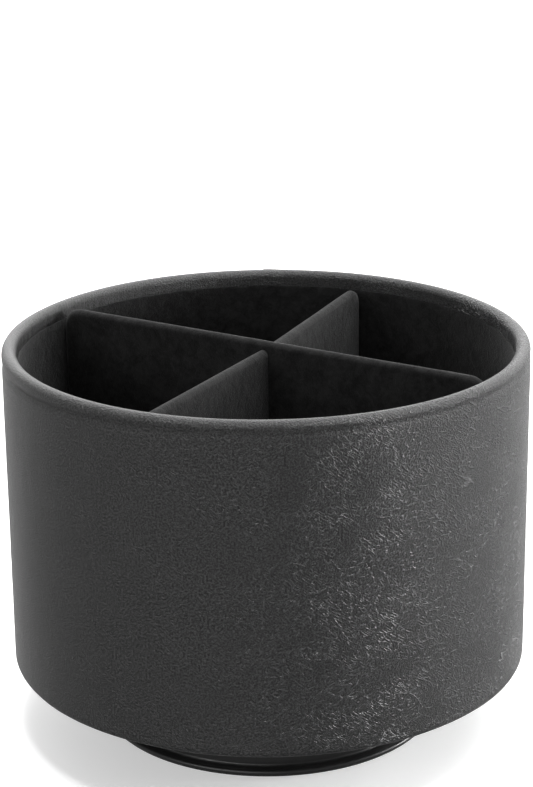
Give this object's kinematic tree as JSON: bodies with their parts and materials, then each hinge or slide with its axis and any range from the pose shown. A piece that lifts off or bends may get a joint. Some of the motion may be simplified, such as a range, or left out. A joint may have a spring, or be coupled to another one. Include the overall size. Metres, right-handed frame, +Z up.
{
  "type": "rotating desk organizer",
  "caption": "Round leather-covered desk cup with four compartments for pens and remotes, on a low turntable that spins freely on a ball track.",
  "frame": {"origin": "on the swivel axis, in the plane of the surface the organizer stands on", "axes": "+Z up along the swivel axis; the long divider lies along X; -Y is the side of the front cross divider"},
  "size_m": [0.19, 0.19, 0.144],
  "materials": {
    "leather": "charcoal artificial leather, fine crackled grain, satin",
    "flannel": "black brushed flannel, dull",
    "board": "grey-brown pressed board, dull",
    "moulded_plastic": "black moulded plastic, semi-gloss",
    "steel": "bright zinc-plated steel",
    "ball_steel": "polished steel",
    "cage_nylon": "natural white nylon, matte",
    "bush_metal": "sintered bronze, dull",
    "rubber": "black soft rubber, matte"
  },
  "bodies": {
    "base": {"base_shell": "moulded_plastic", "antislip_ring": "rubber", "pivot_bush": "bush_metal"},
    "cage": {"bearing_cage": "cage_nylon", "bearing_balls": "ball_steel"},
    "cup": {"leather_wrap": "leather", "wall_board": "board", "bottom_board": "board", "underside_cover": "flannel", "wall_lining": "flannel", "floor_card": "board", "floor_lining": "flannel", "main_divider_board": "board", "main_divider_cover": "flannel", "front_divider_board": "board", "front_divider_cover": "flannel", "rear_divider_board": "board", "rear_divider_cover": "flannel", "turntable_plate": "moulded_plastic", "turntable_screws": "steel", "pivot_screw": "steel", "pivot_washer": "steel", "pivot_nut": "steel"}
  },
  "joints": [
    {"name": "cup_spin", "type": "hinge", "parent": "base", "child": "cup", "pos_m": [0, 0, 0.017], "axis": [0, 0, 1], "continuous": true},
    {"name": "cage_spin", "type": "hinge", "parent": "base", "child": "cage", "pos_m": [0, 0, 0.017], "axis": [0, 0, 1], "continuous": true}
  ],
  "couplings": [
    {"joint": "cage_spin", "follows": "cup_spin", "ratio": 0.5}
  ]
}
